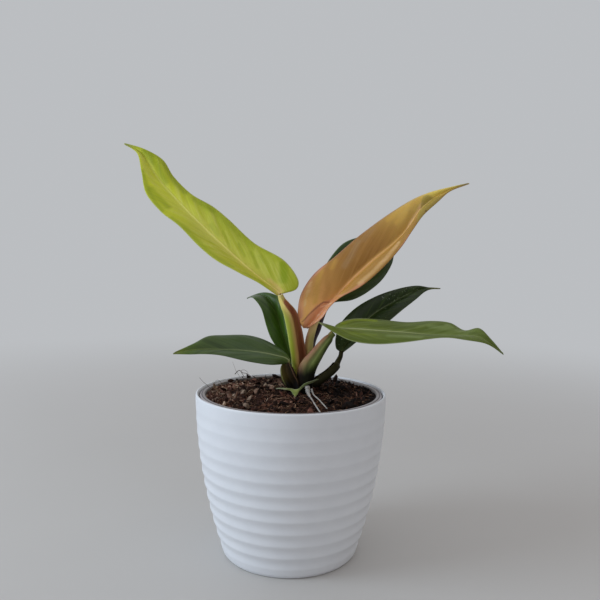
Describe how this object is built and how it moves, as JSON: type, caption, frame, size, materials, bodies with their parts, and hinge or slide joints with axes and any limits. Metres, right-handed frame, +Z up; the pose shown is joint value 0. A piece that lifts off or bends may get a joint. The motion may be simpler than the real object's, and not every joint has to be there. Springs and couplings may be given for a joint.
{
  "type": "potted philodendron",
  "caption": "Young potted prince of orange philodendron with lime, orange and dark green leaves, in a grow pot inside a white ribbed cover pot.",
  "frame": {"origin": "centre of the cover pot's flat underside, on the surface that the pot stands on", "axes": "+Z up along the pot's axis; +X to the right as the plant is seen from its best side; +Y away from the viewer"},
  "size_m": [0.2632, 0.1298, 0.286],
  "materials": {
    "white_plastic": "satin white moulded plastic",
    "grey_plastic": "thin taupe-grey plastic, a little translucent",
    "potting_mix": "dark loose coir and bark, matt",
    "stem": "olive green stem, matt",
    "cataphyll": "papery pale green sheath",
    "aerial_root": "pale fleshy root",
    "lime_leaf": "lime green leaf, satin",
    "orange_leaf": "orange young leaf, satin, flushed red at its foot",
    "green_leaf": "light green leaf, satin",
    "dark_leaf": "dark green leaf, glossy satin",
    "lime_petiole": "lime petiole with a reddish sheath",
    "green_petiole": "green petiole with a pinkish sheath edge",
    "dark_petiole": "dark olive petiole",
    "orange_petiole": "yellow olive petiole",
    "purple_petiole": "dark purple petiole"
  },
  "bodies": {
    "root": {"cover_pot": "white_plastic", "grow_pot": "grey_plastic", "potting_mix": "potting_mix", "stem": "stem", "cataphyll": "cataphyll", "aerial_root_1": "aerial_root", "aerial_root_2": "aerial_root", "lime_blade": "lime_leaf", "orange_blade": "orange_leaf", "green_blade": "green_leaf", "left_blade": "dark_leaf", "rear_left_blade": "dark_leaf", "rear_blade": "dark_leaf", "rear_right_blade": "dark_leaf", "lime_petiole": "lime_petiole", "green_petiole": "green_petiole", "left_petiole": "dark_petiole", "rear_right_petiole": "dark_petiole", "orange_petiole": "orange_petiole", "rear_petiole": "purple_petiole", "rear_left_petiole": "dark_petiole"}
  },
  "joints": []
}
